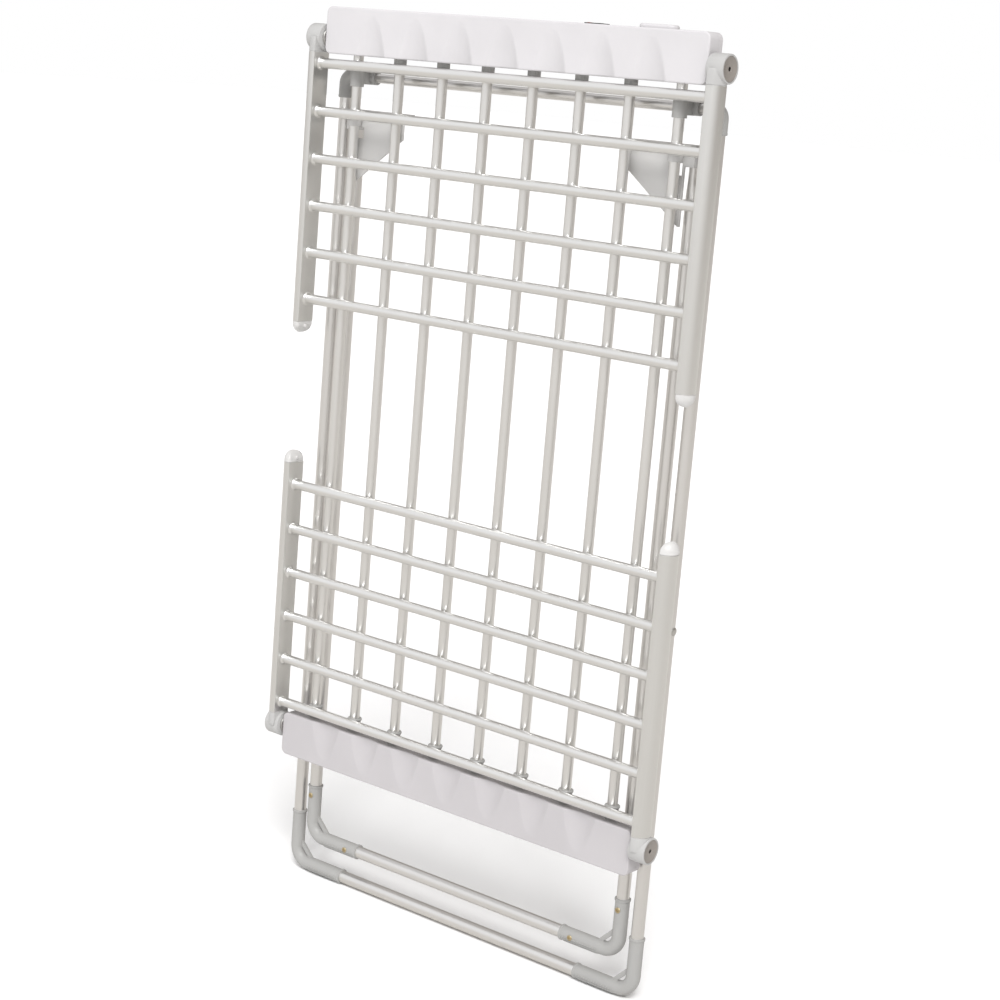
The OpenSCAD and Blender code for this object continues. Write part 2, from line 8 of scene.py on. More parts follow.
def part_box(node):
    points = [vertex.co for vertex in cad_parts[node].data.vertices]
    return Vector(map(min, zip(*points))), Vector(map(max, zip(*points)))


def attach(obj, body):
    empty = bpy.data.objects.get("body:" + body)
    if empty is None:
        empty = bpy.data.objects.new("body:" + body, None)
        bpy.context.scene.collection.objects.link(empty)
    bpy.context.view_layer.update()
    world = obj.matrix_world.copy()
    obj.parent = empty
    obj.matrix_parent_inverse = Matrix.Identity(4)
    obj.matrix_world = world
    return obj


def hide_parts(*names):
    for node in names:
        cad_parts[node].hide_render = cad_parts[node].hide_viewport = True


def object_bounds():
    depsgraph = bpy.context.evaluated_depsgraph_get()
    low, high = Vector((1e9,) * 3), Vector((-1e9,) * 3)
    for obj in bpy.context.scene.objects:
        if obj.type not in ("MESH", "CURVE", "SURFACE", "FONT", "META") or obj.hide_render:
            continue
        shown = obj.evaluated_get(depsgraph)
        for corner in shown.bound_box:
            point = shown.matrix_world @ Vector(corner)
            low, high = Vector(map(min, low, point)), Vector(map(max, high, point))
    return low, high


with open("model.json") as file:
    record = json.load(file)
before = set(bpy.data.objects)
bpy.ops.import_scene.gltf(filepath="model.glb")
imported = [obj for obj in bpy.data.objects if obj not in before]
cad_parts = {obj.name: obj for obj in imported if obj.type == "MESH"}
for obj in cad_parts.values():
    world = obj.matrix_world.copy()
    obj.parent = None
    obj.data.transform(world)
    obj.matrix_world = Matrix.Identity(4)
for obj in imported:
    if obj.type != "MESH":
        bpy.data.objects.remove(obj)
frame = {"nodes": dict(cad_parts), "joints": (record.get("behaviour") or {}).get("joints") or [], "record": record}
cad_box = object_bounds()
scene = bpy.context.scene
joints = {joint["name"]: joint for joint in frame["joints"]}
MM = 0.001
floor_z = cad_box[0][2]

# ------------------------------------------------------------------ Studio
# A pale seamless floor, a wide soft lamp high in front, and a sky that is bright in front and dim and warm behind,
# so that the tubes' edges reflect a darker room. The floor shows in reflections as a darker warm grey: painted
# shade on the metal's reflections only.

VIEW_AZIMUTH = math.radians(37.2)
VIEW_ELEVATION = math.radians(11.87)
VIEW_ROLL = math.radians(4.74)
VIEW_DISTANCE = 2.241
VIEW_TARGET = Vector((0.0192, -0.0047, floor_z + 0.5026))
LENS = 74.93

back = Vector((math.sin(VIEW_AZIMUTH) * math.cos(VIEW_ELEVATION),
               -math.cos(VIEW_AZIMUTH) * math.cos(VIEW_ELEVATION),
               math.sin(VIEW_ELEVATION)))
camera = bpy.data.objects.new("camera", bpy.data.cameras.new("camera"))
scene.collection.objects.link(camera)
camera.data.lens = LENS
camera.data.clip_end = 100
camera.rotation_mode = "QUATERNION"
camera.location = VIEW_TARGET + back * VIEW_DISTANCE
level = (-back).to_track_quat("-Z", "Y").to_matrix()
camera.rotation_quaternion = (level @ Matrix.Rotation(VIEW_ROLL, 3, "Z")).to_quaternion()
scene.camera = camera
scene.view_settings.view_transform = "Standard"


def sun_lamp(name, place, width, power):
    """A wide soft lamp so far off that its light is even over the floor; place is a direction."""
    data = bpy.data.lights.new(name, "SUN")
    data.angle = math.radians(width)
    data.energy = power
    lamp = bpy.data.objects.new(name, data)
    scene.collection.objects.link(lamp)
    lamp.rotation_mode = "QUATERNION"
    lamp.rotation_quaternion = (-Vector(place)).to_track_quat("-Z", "Y")
    return lamp


sun_lamp("key_lamp", (0.62, -0.80, 1.10), 24, 2.25)

sky = bpy.data.worlds.new("studio")
scene.world = sky
sky.use_nodes = True
sky_nodes = sky.node_tree.nodes
sky_links = sky.node_tree.links
sky_nodes.clear()
direction = sky_nodes.new("ShaderNodeTexCoord")
lean = sky_nodes.new("ShaderNodeVectorMath")
lean.operation = "DOT_PRODUCT"
lean.inputs[1].default_value = (-0.16, -0.78, 0.60)
ramp = sky_nodes.new("ShaderNodeValToRGB")
ramp.color_ramp.elements[0].position = 0.42
ramp.color_ramp.elements[0].color = (0.30, 0.275, 0.25, 1)
ramp.color_ramp.elements[1].position = 0.84
ramp.color_ramp.elements[1].color = (0.95, 0.95, 0.96, 1)
half_turn = sky_nodes.new("ShaderNodeMapRange")
half_turn.inputs["From Min"].default_value = -1.0
seen = sky_nodes.new("ShaderNodeLightPath")
light_sky = sky_nodes.new("ShaderNodeBackground")
plain_sky = sky_nodes.new("ShaderNodeBackground")
plain_sky.inputs["Color"].default_value = (1, 1, 1, 1)
pick = sky_nodes.new("ShaderNodeMixShader")
sky_out = sky_nodes.new("ShaderNodeOutputWorld")
sky_links.new(direction.outputs["Generated"], lean.inputs[0])
sky_links.new(lean.outputs["Value"], half_turn.inputs["Value"])
sky_links.new(half_turn.outputs["Result"], ramp.inputs["Fac"])
sky_links.new(ramp.outputs["Color"], light_sky.inputs["Color"])
sky_links.new(seen.outputs["Is Camera Ray"], pick.inputs[0])
sky_links.new(light_sky.outputs[0], pick.inputs[1])
sky_links.new(plain_sky.outputs[0], pick.inputs[2])
sky_links.new(pick.outputs[0], sky_out.inputs[0])


class Value:
    """A number that varies over a surface; sums and products of it add Math nodes."""

    def __init__(self, finish, socket):
        self.finish = finish
        self.socket = socket

    def maths(self, operation, first, second):
        node = self.finish.node("ShaderNodeMath", {"operation": operation}, {0: first, 1: second})
        return Value(self.finish, node.outputs[0])

    def __add__(self, other):
        return self.maths("ADD", self, other)

    def __mul__(self, other):
        return self.maths("MULTIPLY", self, other)

    __radd__ = __add__
    __rmul__ = __mul__


class Finish:
    """One material: a shader whose fixed sockets are numbers and whose varying ones are Values."""

    def __init__(self, name, **fixed):
        self.material = bpy.data.materials.new(name)
        self.material.use_nodes = True
        self.tree = self.material.node_tree
        self.shader = self.tree.nodes["Principled BSDF"]
        for socket, number in fixed.items():
            self.shader.inputs[socket.replace("_", " ")].default_value = number
        self.place = self.node("ShaderNodeTexCoord").outputs["Object"]

    def node(self, kind, settings=None, inputs=None):
        """Adds a node of a kind, sets its settings, then the values or links of its sockets."""
        node = self.tree.nodes.new(kind)
        for setting, value in (settings or {}).items():
            if setting == "stops":
                for element, (spot, shade) in zip(node.color_ramp.elements, value):
                    element.position = spot
                    element.color = shade
            else:
                setattr(node, setting, value)
        for socket, value in (inputs or {}).items():
            if isinstance(value, Value):
                value = value.socket
            if isinstance(value, bpy.types.NodeSocket):
                self.tree.links.new(value, node.inputs[socket])
            else:
                node.inputs[socket].default_value = value
        return node

    def noise(self, scale, detail=3, stretch=(1, 1, 1)):
        """Noise of so many grains a metre, drawn out along an axis by a small stretch."""
        spread = self.node("ShaderNodeMapping", {}, {"Vector": self.place, "Scale": stretch})
        node = self.node("ShaderNodeTexNoise", {},
                         {"Vector": spread.outputs[0], "Scale": scale, "Detail": detail})
        return Value(self, node.outputs["Fac"])

    def band(self, value, low, high):
        """0 below low, 1 above high and even between."""
        node = self.node("ShaderNodeMapRange", {},
                         {"Value": value, "From Min": low, "From Max": high})
        return Value(self, node.outputs["Result"])

    def mix(self, factor, first, second):
        """A colour between two others."""
        node = self.node("ShaderNodeMix", {"data_type": "RGBA"}, {0: factor})
        for socket, colour in ((6, first), (7, second)):
            if isinstance(colour, bpy.types.NodeSocket):
                self.tree.links.new(colour, node.inputs[socket])
            else:
                node.inputs[socket].default_value = (*colour, 1)
        return node.outputs[2]

    def feed(self, socket, value):
        """Links a varying value or colour to the shader."""
        if isinstance(value, Value):
            value = value.socket
        self.tree.links.new(value, self.shader.inputs[socket])

    def relief(self, height, depth, strength=1.0):
        """Fine surface relief, depth in metres."""
        node = self.node("ShaderNodeBump", {},
                         {"Height": height, "Distance": depth, "Strength": strength})
        self.tree.links.new(node.outputs[0], self.shader.inputs["Normal"])


floor_finish = Finish("floor_paint", Roughness=0.9)
floor_finish.feed("Base Color", floor_finish.mix(floor_finish.noise(2.0), (0.96, 0.96, 0.96),
                                                 (0.98, 0.98, 0.98)))
# Painted shade in reflections: mirror rays see the floor as this darker warm grey, so the metal reflects a darker
# floor; camera and lit rays see it white.
reflected_floor_shade = floor_finish.node("ShaderNodeBsdfDiffuse", {}, {"Color": (0.62, 0.60, 0.57, 1)})
rays = floor_finish.node("ShaderNodeLightPath")
shade = floor_finish.node("ShaderNodeMixShader", {}, {0: rays.outputs["Is Glossy Ray"],
                                                      1: floor_finish.shader.outputs[0],
                                                      2: reflected_floor_shade.outputs[0]})
floor_out = floor_finish.tree.nodes["Material Output"]
floor_finish.tree.links.new(shade.outputs[0], floor_out.inputs["Surface"])
FLOOR_HALF = 30
floor_mesh = bpy.data.meshes.new("floor")
corners = ((-1, -1), (1, -1), (1, 1), (-1, 1))
floor_mesh.from_pydata([(x * FLOOR_HALF, y * FLOOR_HALF, floor_z) for x, y in corners],
                       [], [(0, 1, 2, 3)])
floor = bpy.data.objects.new("floor", floor_mesh)
floor_mesh.materials.append(floor_finish.material)
scene.collection.objects.link(floor)

# ------------------------------------------------------------------ Heated centre bars
# Eight round aluminium tubes, extruded and satin anodised, with a heating wire inside each.
# They run from housing to housing and their ends are pushed into the housings' walls.

AXES = {"x": (Vector((1, 0, 0)), Vector((0, 1, 0)), Vector((0, 0, 1))),
        "y": (Vector((0, 1, 0)), Vector((0, 0, 1)), Vector((1, 0, 0))),
        "z": (Vector((0, 0, 1)), Vector((1, 0, 0)), Vector((0, 1, 0)))}
BAR_SIDES = 40


class Shape:
    """Closed skins gathered into one mesh."""

    def __init__(self, points=(), faces=()):
        self.points = [Vector(p) for p in points]
        self.faces = list(faces)

    def skin(self, rings, closed=False):
        """Joins ring to ring; unless the rings close on themselves, both ends get a face."""
        start = len(self.points)
        count = len(rings[0])
        for ring in rings:
            self.points += [Vector(p) for p in ring]
        spans = len(rings) if closed else len(rings) - 1
        for k in range(spans):
            a = start + k * count
            b = start + (k + 1) % len(rings) * count
            for i in range(count):
                j = (i + 1) % count
                self.faces.append((a + i, a + j, b + j, b + i))
        if not closed:
            self.faces.append(tuple(start + i for i in reversed(range(count))))
            last = start + (len(rings) - 1) * count
            self.faces.append(tuple(last + i for i in range(count)))
        return self

    def turned(self, profile, origin, axis="z", closed=False, sides=BAR_SIDES):
        """Turns (radius, distance along the axis) points round an axis through the origin."""
        along, u, v = AXES[axis]
        rings = []
        for radius, distance in profile:
            middle = Vector(origin) + along * distance
            rings.append([middle + (u * math.cos(t) + v * math.sin(t)) * radius
                          for t in (2 * math.pi * i / sides for i in range(sides))])
        return self.skin(rings, closed)

    def mirrored(self, axis, about=0.0):
        """A mirror image about a plane across an axis."""
        k = "xyz".index(axis)
        copy = Shape(self.points, [tuple(reversed(face)) for face in self.faces])
        for p in copy.points:
            p[k] = 2 * about - p[k]
        return copy

    def joined(self, other):
        """Both shapes in one."""
        start = len(self.points)
        faces = self.faces + [tuple(start + i for i in face) for face in other.faces]
        return Shape(self.points + other.points, faces)

    def both_sides(self):
        """The shape and its image on the airer's other side."""
        return self.joined(self.mirrored("x"))

    def mesh(self, name):
        """A mesh with outward normals."""
        data = bpy.data.meshes.new(name)
        data.from_pydata([tuple(p) for p in self.points], [], self.faces)
        work = bmesh.new()
        work.from_mesh(data)
        bmesh.ops.remove_doubles(work, verts=work.verts, dist=1e-7)
        bmesh.ops.recalc_face_normals(work, faces=work.faces)
        work.to_mesh(data)
        work.free()
        return data


def finished(thing, finish, body, nodes, crease=38):
    """Smooths a piece, paints it, sets it on its body and hides the solids it stands for."""
    data = thing.data
    data.shade_smooth()
    data.set_sharp_from_angle(angle=math.radians(crease))
    data.materials.clear()
    data.materials.append(finish.material)
    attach(thing, body)
    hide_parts(*nodes)
    return thing


def piece(name, shape, finish, body, nodes, crease=38):
    """Makes a piece from a shape."""
    thing = bpy.data.objects.new(name, shape.mesh(name))
    scene.collection.objects.link(thing)
    return finished(thing, finish, body, nodes, crease)


def anodised(name, axis, colour):
    """Satin anodised aluminium with the fine lines that extruding leaves along it."""
    finish = Finish(name, Metallic=1.0)
    stretch = [1.0, 1.0, 1.0]
    stretch["xyz".index(axis)] = 0.006
    lines = finish.noise(1500, 2, stretch)
    clouds = finish.noise(9, 2)
    tone = finish.band(lines * 0.55 + clouds * 0.45, 0.3, 0.7)
    finish.feed("Base Color", finish.mix(tone, [c * 0.965 for c in colour], colour))
    finish.feed("Roughness", 0.27 + lines * 0.10)
    finish.relief(lines, 0.00001, 0.2)
    return finish


BAR_COLOUR = (0.83, 0.825, 0.81)
upright_bar_finish = anodised("anodised_upright_bars", "z", BAR_COLOUR)
level_bar_finish = anodised("anodised_cross_bars", "x", BAR_COLOUR)


def tube_profile(radius, wall, low, high, chamfer=0.3 * MM):
    """A hollow tube with broken edges, as a closed profile."""
    inner = radius - wall
    return [(inner, low), (radius - chamfer, low), (radius, low + chamfer),
            (radius, high - chamfer), (radius - chamfer, high), (inner, high)]


BAR_WALL = 1.0 * MM
first_low, first_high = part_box("centre_bar_1")
bar_r = (first_high.x - first_low.x) / 2
bar_y = (first_low.y + first_high.y) / 2
bar_xs = []
for i in range(1, 9):
    low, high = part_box(f"centre_bar_{i}")
    bar_xs.append((low.x + high.x) / 2)
    profile = tube_profile(bar_r, BAR_WALL, low.z, high.z)
    piece(f"heated_bar_{i}", Shape().turned(profile, (bar_xs[-1], bar_y, 0), "z", True),
          upright_bar_finish, "centre_panel", [f"centre_bar_{i}"])

# ------------------------------------------------------------------ Housings
# Each housing is two injection-moulded shells in pale lilac-grey plastic with a fine spark texture, screwed
# together from behind; the lower housing's plastic is painted darker, as painted shade for the dimmer light it
# lies in. The front shell has seven finger scallops.


def plastic(name, colour, rough, grain, depth):
    """Moulded plastic: faint cloudy shade, fine texture and scattered scuffs, a little lighter and rougher."""
    finish = Finish(name, Specular_IOR_Level=0.45)
    clouds = finish.noise(14, 3)
    grains = finish.noise(grain, 2)
    scuffs = finish.band(finish.noise(160, 5, (1, 1, 0.35)), 0.62, 0.75)
    shade = finish.mix(finish.band(clouds, 0.35, 0.65), [c * 0.955 for c in colour], colour)
    finish.feed("Base Color", finish.mix(scuffs * 0.12, shade, [min(1, c * 1.1) for c in colour]))
    finish.feed("Roughness", rough + grains * 0.10 + scuffs * 0.08)
    finish.relief(grains, depth, 0.5)
    return finish


HOUSING_COLOUR = (0.600, 0.584, 0.594)
housing_finish = plastic("housing_plastic", HOUSING_COLOUR, 0.42, 1900, 0.00004)
# Painted shade: the same plastic as the upper housing, painted darker because the lower housing lies in dimmer
# light.
LOWER_SHADED_COLOUR = (0.475, 0.455, 0.463)
lower_shaded_finish = plastic("lower_housing_painted_shade_plastic", LOWER_SHADED_COLOUR, 0.42, 1900, 0.00004)

WALL = 2.2 * MM
COLUMN_STEP = 1.5 * MM
ROW_STEP = 1.2 * MM
ROW_EDGE = (0, 0.15, 0.4, 0.8, 1.2, 1.7, 2.4)
COLUMN_EDGE = ROW_EDGE + (3.4, 4.6, 6, 7.2)
CORNER_R = 7 * MM
EDGE_R = 1.6 * MM
SEAM = 0.2 * MM
SCALLOP_DEPTH = 6 * MM
SCALLOP_W = 42 * MM
SCALLOP_H = 44 * MM
cover_low, cover_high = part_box("top_front_cover")
rear_low, rear_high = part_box("top_rear_cover")
mid_z = (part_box("bottom_front_cover")[0].z + cover_high.z) / 2


def edge_distance(x, z, half, low, high, corner):
    """Distance inside a rounded rectangle's edge."""
    dx = abs(x) - (half - corner)
    dz = abs(z - (low + high) / 2) - ((high - low) / 2 - corner)
    outside = math.hypot(max(dx, 0), max(dz, 0))
    return corner - outside - min(max(dx, dz), 0)


def scallop_bite(x, z):
    """Depth of the scallops: a round bar tilted so that it leaves the face at SCALLOP_H."""
    radius = (SCALLOP_W ** 2 / 4 + SCALLOP_DEPTH ** 2) / (2 * SCALLOP_DEPTH)
    reach = (z - cover_low.z) / SCALLOP_H
    best = 0.0
    for left, right in zip(bar_xs, bar_xs[1:]):
        off = x - (left + right) / 2
        if abs(off) < radius:
            sink = math.sqrt(radius ** 2 - off ** 2) - radius + SCALLOP_DEPTH * (1 - reach)
            best = max(best, sink)
    soft = 0.35 * MM
    return best ** 2 / (best + soft)


def spread(low, high, step, edge):
    """Places from low to high, close together near both ends and a step apart between."""
    places = [low + e * MM for e in edge]
    inner_low = places[-1]
    inner_high = high - edge[-1] * MM
    count = max(2, round((inner_high - inner_low) / step))
    places += [inner_low + (inner_high - inner_low) * k / count for k in range(1, count)]
    places += [high - e * MM for e in reversed(edge)]
    return places


def cover_shape(y_face, y_seam, with_scallops):
    """A housing shell: a face with a rolled edge, drawn back to the seam."""
    half = cover_high.x
    low, high = cover_low.z, cover_high.z
    into = 1 if y_seam > y_face else -1
    columns = spread(-half, half, COLUMN_STEP, COLUMN_EDGE)
    full_column = spread(low, high, ROW_STEP, ROW_EDGE)
    rows = len(full_column)
    shape = Shape()
    for x in columns:
        dx = max(abs(x) - (half - CORNER_R), 0)
        cut = CORNER_R - math.sqrt(max(CORNER_R ** 2 - dx ** 2, 0))
        heights = spread(low + cut, high - cut, ROW_STEP, ROW_EDGE)
        if len(heights) != rows:
            heights = [low + cut + (high - low - 2 * cut) * (h - low) / (high - low)
                       for h in full_column]
        for z in heights:
            inside = max(edge_distance(x, z, half, low, high, CORNER_R), 0)
            roll = EDGE_R - math.sqrt(max(EDGE_R ** 2 - max(EDGE_R - inside, 0) ** 2, 0))
            bite = scallop_bite(x, z) if with_scallops else 0
            y = y_face + into * (roll + bite)
            shape.points.append(Vector((x, y, z)))
    n_cols = len(columns)
    for c in range(n_cols - 1):
        for r in range(rows - 1):
            a = c * rows + r
            shape.faces.append((a, a + rows, a + rows + 1, a + 1))
    rim = [c * rows for c in range(n_cols)]
    rim += [(n_cols - 1) * rows + r for r in range(1, rows)]
    rim += [c * rows + rows - 1 for c in reversed(range(n_cols - 1))]
    rim += list(reversed(range(1, rows - 1)))
    start = len(shape.points)
    depth_end = y_seam - into * SEAM / 2
    for index in rim:
        p = shape.points[index]
        shape.points.append(Vector((p.x, depth_end, p.z)))
    count = len(rim)
    for k in range(count):
        j = (k + 1) % count
        shape.faces.append((rim[k], rim[j], start + j, start + k))
    return shape


def hollow(name, shape):
    """An object whose open shell is given its wall thickness."""
    thing = bpy.data.objects.new(name, shape.mesh(name))
    scene.collection.objects.link(thing)
    shell = thing.modifiers.new("wall", "SOLIDIFY")
    shell.thickness = WALL
    shell.offset = -1
    return baked(thing)


def baked(thing):
    """Turns an object's modifiers into its mesh."""
    graph = bpy.context.evaluated_depsgraph_get()
    data = bpy.data.meshes.new_from_object(thing.evaluated_get(graph))
    thing.modifiers.clear()
    thing.data = data
    return thing


front_shape = cover_shape(cover_low.y, cover_high.y, True)
rear_shape = cover_shape(rear_high.y, rear_low.y, False)
finished(hollow("top_front_shell", front_shape), housing_finish, "centre_panel",
         ["top_front_cover"])
finished(hollow("bottom_front_shell", front_shape.mirrored("z", mid_z)), lower_shaded_finish,
         "centre_panel", ["bottom_front_cover"])


def carved(thing, cutter, operation="DIFFERENCE"):
    """Cuts a shape out of an object, or adds it."""
    tool = bpy.data.objects.new("cutter", cutter.mesh("cutter"))
    scene.collection.objects.link(tool)
    change = thing.modifiers.new("change", "BOOLEAN")
    change.operation = operation
    change.object = tool
    change.solver = "EXACT"
    baked(thing)
    bpy.data.objects.remove(tool)
    return thing


screw_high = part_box("cover_screws")[1]
SCREW_XS = (-222 * MM, -120 * MM, 0.0, 140 * MM, 222 * MM)
SCREW_HEAD_R = 3.2 * MM
WELL_R = 3.8 * MM
WELL_DEPTH = 3 * MM
screw_z = screw_high.z - SCREW_HEAD_R
wells = Shape()
for x in SCREW_XS:
    wells.turned([(WELL_R, -WELL_DEPTH), (WELL_R, 0.2 * MM), (4.6 * MM, 1 * MM)],
                 (x, rear_high.y, screw_z), "y")
rear_top = hollow("top_rear_shell", rear_shape)
finished(carved(rear_top, wells), housing_finish, "centre_panel",
         ["top_rear_cover"])
rear_bottom = hollow("bottom_rear_shell", rear_shape.mirrored("z", mid_z))
finished(carved(rear_bottom, wells.mirrored("z", mid_z)), lower_shaded_finish, "centre_panel",
         ["bottom_rear_cover"])

# ------------------------------------------------------------------ Screws and pivot bolts
# Zinc-plated pan-head screws with a cross recess sit in the wells of the rear shells. The wing
# pivot bolts are turned steel with a washer against the housing's end.

zinc = Finish("zinc_plate", Metallic=1.0)
zinc_tone = zinc.noise(420, 4)
zinc.feed("Base Color", zinc.mix(zinc_tone, (0.50, 0.49, 0.47), (0.68, 0.67, 0.65)))
zinc.feed("Roughness", 0.26 + zinc_tone * 0.22)
zinc.relief(zinc_tone, 0.00003, 0.3)


def arc(radius, start, end, count, middle=(0, 0)):
    """Points on a circle, angles in degrees."""
    step = (end - start) / count
    return [(middle[0] + radius * math.cos(math.radians(start + step * k)),
             middle[1] + radius * math.sin(math.radians(start + step * k)))
            for k in range(count + 1)]


def block(low, high):
    """A plain box, used as a cutter or as the core of a fused piece."""
    ring = [(low[0], low[1]), (high[0], low[1]), (high[0], high[1]), (low[0], high[1])]
    return Shape().skin([[(x, y, z) for x, y in ring] for z in (low[2], high[2])])


def pan_head(place, radius, height, length, shank, sign):
    """A pan-head screw along Y: its head points to +Y or -Y by the sign."""
    dome = [(shank, -sign * length), (shank, 0), (radius * 0.97, 0),
            (radius, sign * height * 0.25)]
    for k in range(1, 6):
        t = math.radians(90 * k / 6)
        dome.append((radius * math.cos(t) * 0.98 + 0.01 * MM,
                     sign * (height * 0.25 + height * 0.75 * math.sin(t))))
    return Shape().turned(dome, place, "y", sides=28)


def cross_cutter(place, radius, depth, sign):
    """The two slots of a cross recess."""
    arm, half = radius * 0.62, radius * 0.13
    x, y, z = place
    ys = sorted((y - sign * depth, y + sign * 2 * MM))
    return (block((x - arm, ys[0], z - half), (x + arm, ys[1], z + half)),
            block((x - half, ys[0], z - arm), (x + half, ys[1], z + arm)))


def crossed_screws(name, places, radius, height, length, shank, sign):
    """Several cross-recess screws in one object."""
    heads = Shape()
    for place in places:
        heads = heads.joined(pan_head(place, radius, height, length, shank, sign))
    thing = bpy.data.objects.new(name, heads.mesh(name))
    scene.collection.objects.link(thing)
    for number in (0, 1):
        slots = Shape()
        for place in places:
            top = (place[0], place[1] + sign * height, place[2])
            slots = slots.joined(cross_cutter(top, radius, height * 0.75, sign)[number])
        carved(thing, slots)
    return thing


head_y = rear_high.y - WELL_DEPTH
cover_places = [(x, head_y, screw_z) for x in SCREW_XS]
cover_places += [(x, head_y, 2 * mid_z - screw_z) for x in SCREW_XS]
screws = crossed_screws("cover_screw_heads", cover_places, SCREW_HEAD_R, 1.9 * MM, 12 * MM,
                        1.5 * MM, 1)
finished(screws, zinc, "centre_panel", ["cover_screws"], 30)

upper_pivot = Vector(joints["upper_wing_hinge"]["pos_m"])
bolt_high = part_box("wing_pivot_bolts")[1]
BOLT_HEAD = 3 * MM
BOLT_HEAD_R = 5.5 * MM
BOLT_R = 3 * MM
bolt = Shape().turned([(BOLT_R - 0.4 * MM, cover_high.x - 20 * MM),
                       (BOLT_R, cover_high.x - 19.4 * MM),
                       (BOLT_R, bolt_high.x - BOLT_HEAD),
                       (BOLT_HEAD_R - 0.3 * MM, bolt_high.x - BOLT_HEAD),
                       (BOLT_HEAD_R, bolt_high.x - BOLT_HEAD + 0.3 * MM),
                       (BOLT_HEAD_R, bolt_high.x - 0.7 * MM),
                       (BOLT_HEAD_R - 0.7 * MM, bolt_high.x)],
                      (0, upper_pivot.y, upper_pivot.z), "x")
washer = Shape().turned(tube_profile(9 * MM, 5.95 * MM, cover_high.x + 0.1 * MM,
                                     cover_high.x + 2.1 * MM),
                        (0, upper_pivot.y, upper_pivot.z), "x", True)
bolts = bolt.joined(washer).both_sides()
bolts = bolts.joined(bolts.mirrored("z", mid_z))
piece("pivot_bolts_and_washers", bolts, zinc, "centre_panel",
      ["wing_pivot_bolts"])

# ------------------------------------------------------------------ Collars and leg bearings
# Moulded grey plastic collars close the bars' entries into the housings, with a rolled rim. The
# leg bearings are tees: an upright sleeve on the outer bar and a level one behind it.

GREY_COLOUR = (0.35, 0.346, 0.335)
grey_finish = plastic("grey_plastic", GREY_COLOUR, 0.38, 1300, 0.00002)

collar_low, collar_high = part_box("top_bar_collars")
RIM_R = 8.2 * MM
COLLAR_R = 7.5 * MM
COLLAR_BORE = bar_r + 0.05 * MM


def collar_profile(low, high, rim):
    """A sleeve that flares to a rolled rim at its open end."""
    return [(COLLAR_BORE, high), (COLLAR_R - 0.6 * MM, high), (COLLAR_R - 0.7 * MM, low + 6 * MM),
            (COLLAR_R - 0.2 * MM, low + 3.4 * MM), (rim - 0.2 * MM, low + 2.4 * MM),
            (rim, low + 1.8 * MM), (rim, low + 0.7 * MM), (rim - 0.5 * MM, low + 0.15 * MM),
            (rim - 1.0 * MM, low), (COLLAR_BORE, low)]


collar = collar_profile(collar_low.z, collar_high.z, RIM_R)
top_collars = Shape()
for x in bar_xs[1:-1]:
    top_collars.turned(collar, (x, bar_y, 0), "z", True)
piece("top_collars", top_collars, grey_finish, "centre_panel",
      ["top_bar_collars"])
bottom_collars = Shape()
for x in bar_xs:
    bottom_collars.turned(collar, (x, bar_y, 0), "z", True)
piece("bottom_collars", bottom_collars.mirrored("z", mid_z), grey_finish, "centre_panel",
      ["bottom_bar_collars"])


def fused(name, shapes, round_edges=0.5 * MM, segments=3):
    """Welds overlapping shapes into one skin and breaks its edges."""
    thing = bpy.data.objects.new(name, shapes[0].mesh(name))
    scene.collection.objects.link(thing)
    for other in shapes[1:]:
        carved(thing, other, "UNION")
    if round_edges:
        soften(thing, round_edges, segments)
    return thing


def soften(thing, width, segments=3, angle=35):
    """Rounds the edges that turn by more than an angle."""
    bevel = thing.modifiers.new("edges", "BEVEL")
    bevel.width = width
    bevel.segments = segments
    bevel.limit_method = "ANGLE"
    bevel.angle_limit = math.radians(angle)
    return baked(thing)


def mirror_object(thing):
    """Adds the object's image on the airer's other side to its mesh."""
    mirror = thing.modifiers.new("other_side", "MIRROR")
    mirror.use_mirror_merge = False
    return baked(thing)


def tube_cutter(radius, low, high, origin, axis):
    """A round hole."""
    return Shape().turned([(radius, low), (radius, high)], origin, axis)


leg_pivot = Vector(joints["leg_fold"]["pos_m"])
rod_low, rod_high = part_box("outer_leg_rod")
rod_r = (rod_high.z - rod_low.z) / 2
last_x = bar_xs[-1]
sleeve_r = bar_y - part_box("leg_bearings")[0].y
RUN_FIT = 0.06 * MM
TEE_HALF = 11 * MM
tee_sleeve = Shape().turned([(sleeve_r - 0.2 * MM, -10.5 * MM), (sleeve_r, -9.8 * MM),
                             (sleeve_r, 8.3 * MM), (sleeve_r - 0.2 * MM, 9 * MM)],
                            (last_x, bar_y, leg_pivot.z))
tee_web = block((last_x - 5 * MM, bar_y, leg_pivot.z - 7.5 * MM),
                (last_x + 5 * MM, leg_pivot.y, leg_pivot.z + 7.5 * MM))
tee_eye = Shape().turned([(rod_r + 2.2 * MM, -TEE_HALF), (rod_r + 2.5 * MM, -10.6 * MM),
                          (rod_r + 2.5 * MM, 10.6 * MM), (rod_r + 2.2 * MM, TEE_HALF)],
                         (last_x, leg_pivot.y, leg_pivot.z), "x")
tee = fused("leg_bearing_tees", [tee_sleeve, tee_web, tee_eye], 0)
carved(tee, tube_cutter(bar_r + RUN_FIT, -0.03, 0.03, (last_x, bar_y, leg_pivot.z), "z"))
carved(tee, tube_cutter(rod_r + RUN_FIT, -0.03, 0.03, (last_x, leg_pivot.y, leg_pivot.z), "x"))
finished(mirror_object(tee), grey_finish, "centre_panel", ["leg_bearings"])

# ------------------------------------------------------------------ Wings
# Each wing has two D-shaped aluminium rails with six round bars welded between them, a moulded
# hinge fitting at the housing, and a white domed cap on each free end.

